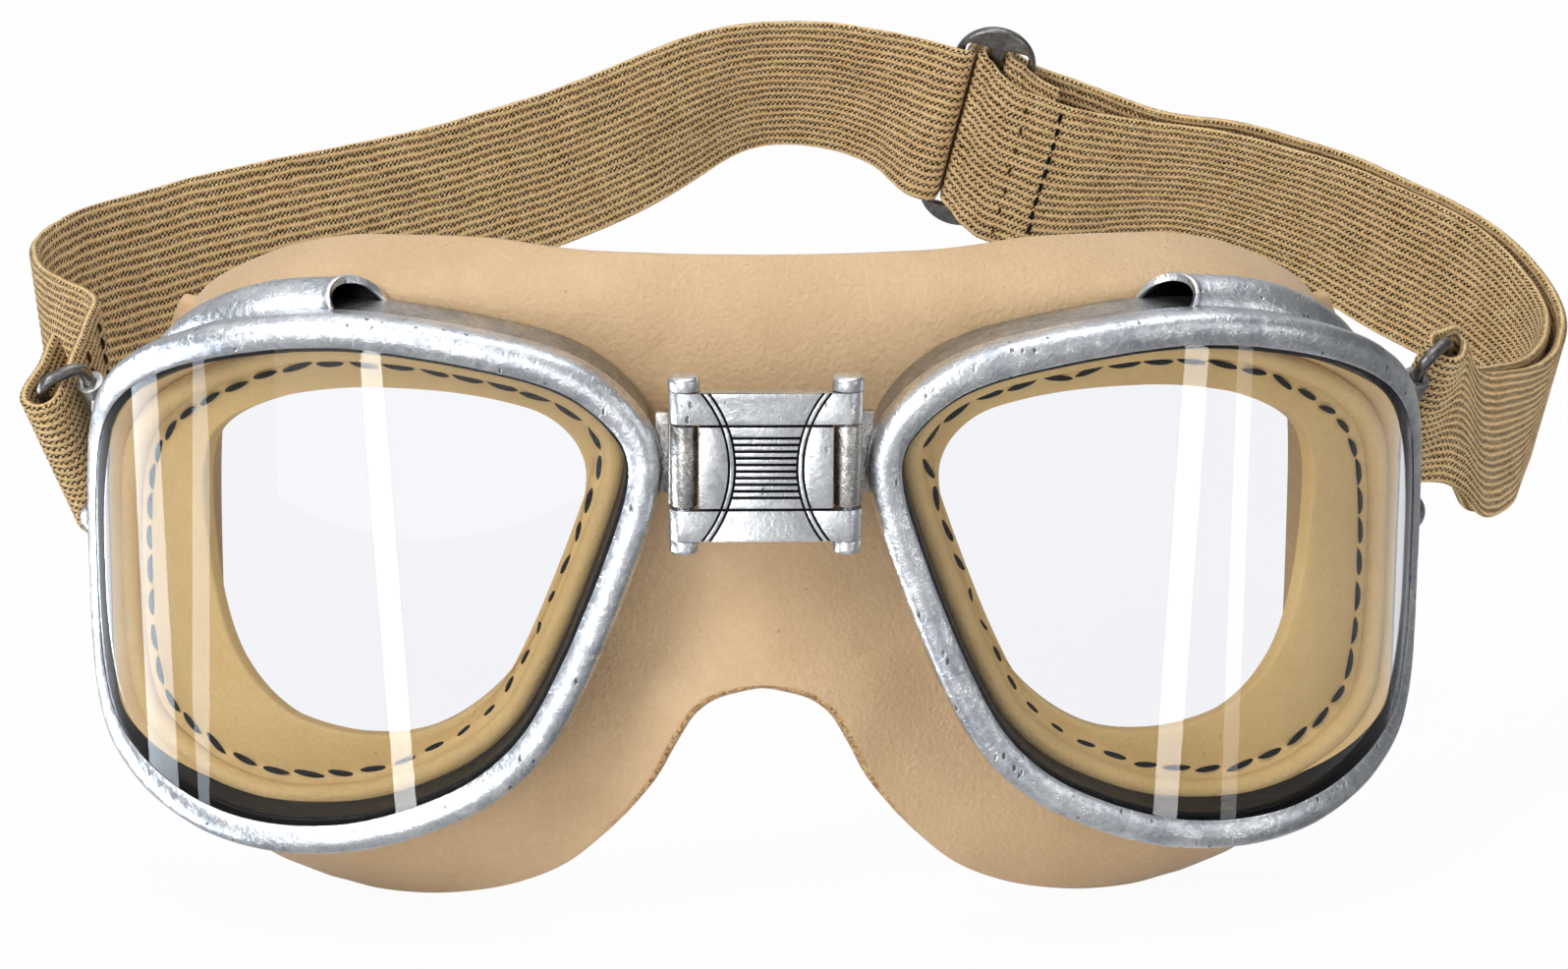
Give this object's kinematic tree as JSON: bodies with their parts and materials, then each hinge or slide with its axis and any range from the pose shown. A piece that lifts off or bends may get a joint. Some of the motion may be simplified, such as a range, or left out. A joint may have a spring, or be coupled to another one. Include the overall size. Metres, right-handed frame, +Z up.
{
  "type": "flying goggles",
  "caption": "Aviator flying goggles: wrap-round framed lenses on a hinged bridge, leather face mask, vent hoods and a ribbed elastic head strap with a slider",
  "frame": {"origin": "midway between the two eye openings, at the height of the bridge hinge, on the plane where the mask meets the brow", "axes": "+X runs across the face from the left lens in the picture to the right one, the front of the goggles faces -Y, +Y points from the lenses into the mask to the strap, +Z is up"},
  "size_m": [0.2029, 0.1405, 0.0903],
  "materials": {
    "pewter": "antique pewter, mottled grey with dark pits",
    "pewter_dull": "dull grey sheet metal",
    "dark_steel": "dark polished steel",
    "lens_clear": "clear, with soft streaks of light",
    "black_rubber": "smooth black",
    "tan_leather": "smooth beige-tan, fine grain",
    "inner_leather": "yellowish tan, matt",
    "lining_cork": "fibrous light tan backing",
    "thread_black": "waxed black thread",
    "thread_tan": "brown-tan thread",
    "elastic_webbing": "ribbed tan elastic webbing"
  },
  "bodies": {
    "bridge": {"bridge_plate": "pewter", "hinge_pin_left": "pewter", "hinge_pin_right": "pewter", "pin_foot_left": "pewter", "pin_foot_right": "pewter", "mask_nose": "tan_leather", "lining_nose": "lining_cork", "strap_left_run": "elastic_webbing", "strap_right_outer": "elastic_webbing", "strap_right_inner": "elastic_webbing"},
    "left_cup": {"rim_left": "pewter", "frame_left": "pewter_dull", "lens_left": "lens_clear", "gasket_left": "black_rubber", "piping_left": "inner_leather", "eye_panel_left": "inner_leather", "stitching_left": "thread_black", "mask_left": "tan_leather", "lining_left": "lining_cork", "vent_left": "pewter", "knuckle_left": "pewter_dull", "lug_left": "pewter", "temple_screw_left": "dark_steel", "temple_nut_left": "dark_steel"},
    "right_cup": {"rim_right": "pewter", "frame_right": "pewter_dull", "lens_right": "lens_clear", "gasket_right": "black_rubber", "piping_right": "inner_leather", "eye_panel_right": "inner_leather", "stitching_right": "thread_black", "mask_right": "tan_leather", "lining_right": "lining_cork", "vent_right": "pewter", "knuckle_right": "pewter_dull", "lug_right": "pewter", "temple_screw_right": "dark_steel", "temple_nut_right": "dark_steel"},
    "left_ring": {"ring_left": "dark_steel", "strap_left_end": "elastic_webbing", "sewing_left": "thread_tan"},
    "right_ring": {"ring_right": "dark_steel", "strap_right_end": "elastic_webbing"},
    "slider": {"slider": "dark_steel", "sewing_slider": "thread_tan"}
  },
  "joints": [
    {"name": "left_cup_hinge", "type": "hinge", "parent": "bridge", "child": "left_cup", "pos_m": [-0.0096, -0.0172, 0], "axis": [0, 0, -1], "range_deg": [-4, 10], "deforming": ["mask_nose", "lining_nose", "strap_left_run", "strap_left_end"]},
    {"name": "right_cup_hinge", "type": "hinge", "parent": "bridge", "child": "right_cup", "pos_m": [0.0096, -0.0172, 0], "axis": [0, 0, 1], "range_deg": [-4, 10], "deforming": ["strap_right_outer", "strap_right_inner", "strap_right_end"]},
    {"name": "left_ring_swing", "type": "hinge", "parent": "left_cup", "child": "left_ring", "pos_m": [-0.0805, 0.0295, -0.01], "axis": [-0.2198, -0.5295, 0.8193], "range_deg": [-20, 20]},
    {"name": "right_ring_swing", "type": "hinge", "parent": "right_cup", "child": "right_ring", "pos_m": [0.0805, 0.0295, -0.01], "axis": [0.2198, -0.5295, 0.8193], "range_deg": [-20, 20]},
    {"name": "slider_slide", "type": "slide", "parent": "bridge", "child": "slider", "axis": [0.9592, -0.04, -0.2798], "range_m": [-0.006, 0.006]}
  ]
}
